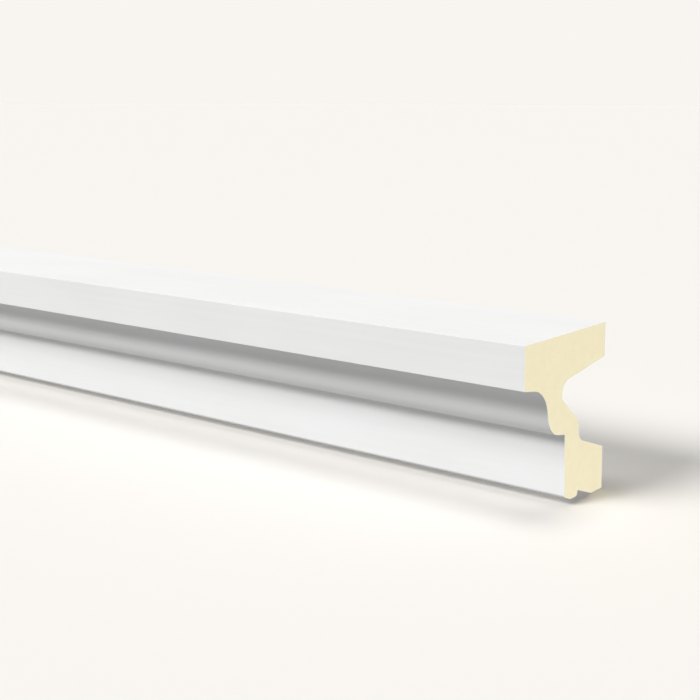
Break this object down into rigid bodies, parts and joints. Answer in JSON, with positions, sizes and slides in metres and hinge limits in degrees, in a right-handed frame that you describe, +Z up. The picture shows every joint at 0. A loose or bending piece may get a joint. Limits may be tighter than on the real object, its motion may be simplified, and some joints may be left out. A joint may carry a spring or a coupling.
{
  "type": "window sill moulding",
  "caption": "Straight exterior window sill moulding with a deep slab, cove and bead, plain frieze, drip lip and recessed back, cut square at both ends.",
  "frame": {"origin": "on the wall plane, at mid-length and at the middle height of the upper wall face, which is the back of the sill slab", "axes": "+X along the moulding, to the right as seen from in front of the wall, +Y into the wall, +Z up; the front faces -Y"},
  "size_m": [1, 0.119, 0.13],
  "materials": {
    "white_primer": "matt white primer coat on moulded rigid polyurethane, faintly uneven along its length",
    "bare_foam": "bare cream rigid foam with fine closed cells, showing on the two sawn ends"
  },
  "bodies": {
    "root": {"sill_moulding": "white_primer"}
  },
  "joints": []
}
